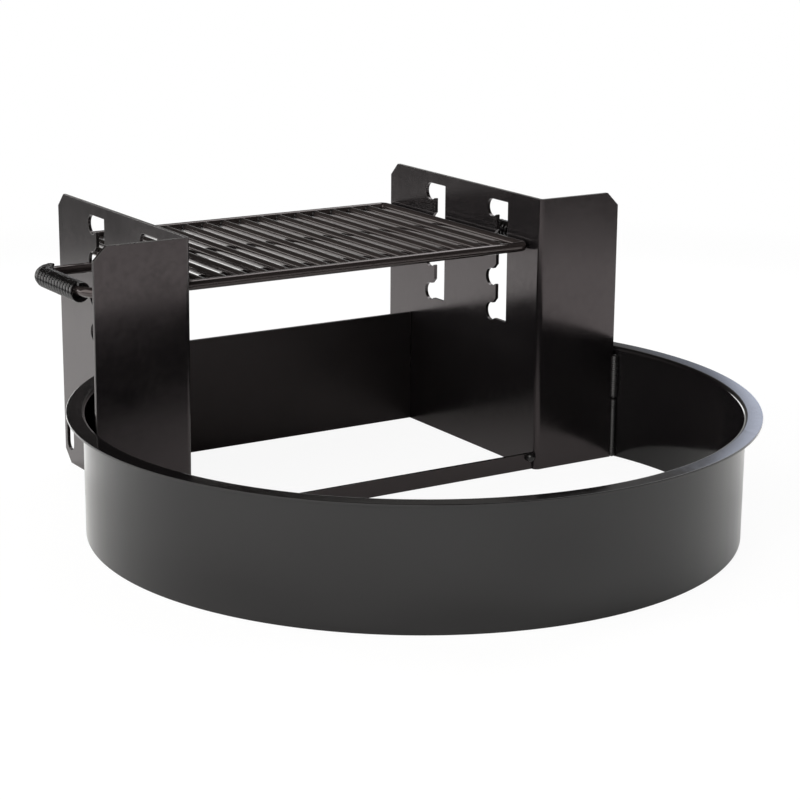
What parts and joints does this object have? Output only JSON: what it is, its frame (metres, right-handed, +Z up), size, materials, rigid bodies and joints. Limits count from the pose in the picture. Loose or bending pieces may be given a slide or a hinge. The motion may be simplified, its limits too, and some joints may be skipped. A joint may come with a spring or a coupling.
{
  "type": "campfire ring with adjustable cooking grate",
  "caption": "Flanged steel campfire ring with bent comb-slotted uprights, a low back panel and a rod grate on coil-spring handles that moves up and down between the slots' notches.",
  "frame": {"origin": "middle of the footprint on the ground", "axes": "+Z up, +X to the right seen from the open front of the ring, +Y to the back panel"},
  "size_m": [0.8399, 0.8933, 0.363],
  "materials": {
    "blackened_sheet": "semi-gloss black enamel over rolled sheet",
    "blackened_plate": "semi-gloss black enamel over plate",
    "weld_metal": "semi-gloss black enamel over weld beads",
    "blackened_rod": "semi-gloss black enamel over round rod",
    "spring_steel": "black enamel over drawn wire"
  },
  "bodies": {
    "frame": {"fire_ring": "blackened_sheet", "left_upright": "blackened_plate", "right_upright": "blackened_plate", "back_panel": "blackened_plate", "front_tie_bar": "blackened_plate", "wing_welds": "weld_metal", "ring_end_welds": "weld_metal", "back_panel_welds": "weld_metal", "tie_bar_welds": "weld_metal"},
    "grate": {"grate_frame": "blackened_rod", "grate_bar_01": "blackened_rod", "grate_bar_02": "blackened_rod", "grate_bar_03": "blackened_rod", "grate_bar_04": "blackened_rod", "grate_bar_05": "blackened_rod", "grate_bar_06": "blackened_rod", "grate_bar_07": "blackened_rod", "grate_bar_08": "blackened_rod", "grate_bar_09": "blackened_rod", "grate_bar_10": "blackened_rod", "grate_bar_11": "blackened_rod", "grate_bar_12": "blackened_rod", "grate_bar_13": "blackened_rod", "grate_bar_14": "blackened_rod", "grate_bar_15": "blackened_rod", "grate_bar_16": "blackened_rod", "left_handle_rod": "blackened_rod", "right_handle_rod": "blackened_rod", "left_spring_grip": "spring_steel", "right_spring_grip": "spring_steel"}
  },
  "joints": [
    {"name": "grate_lift", "type": "slide", "parent": "frame", "child": "grate", "axis": [0, 0, 1], "range_m": [-0.0923, 0.056]}
  ]
}
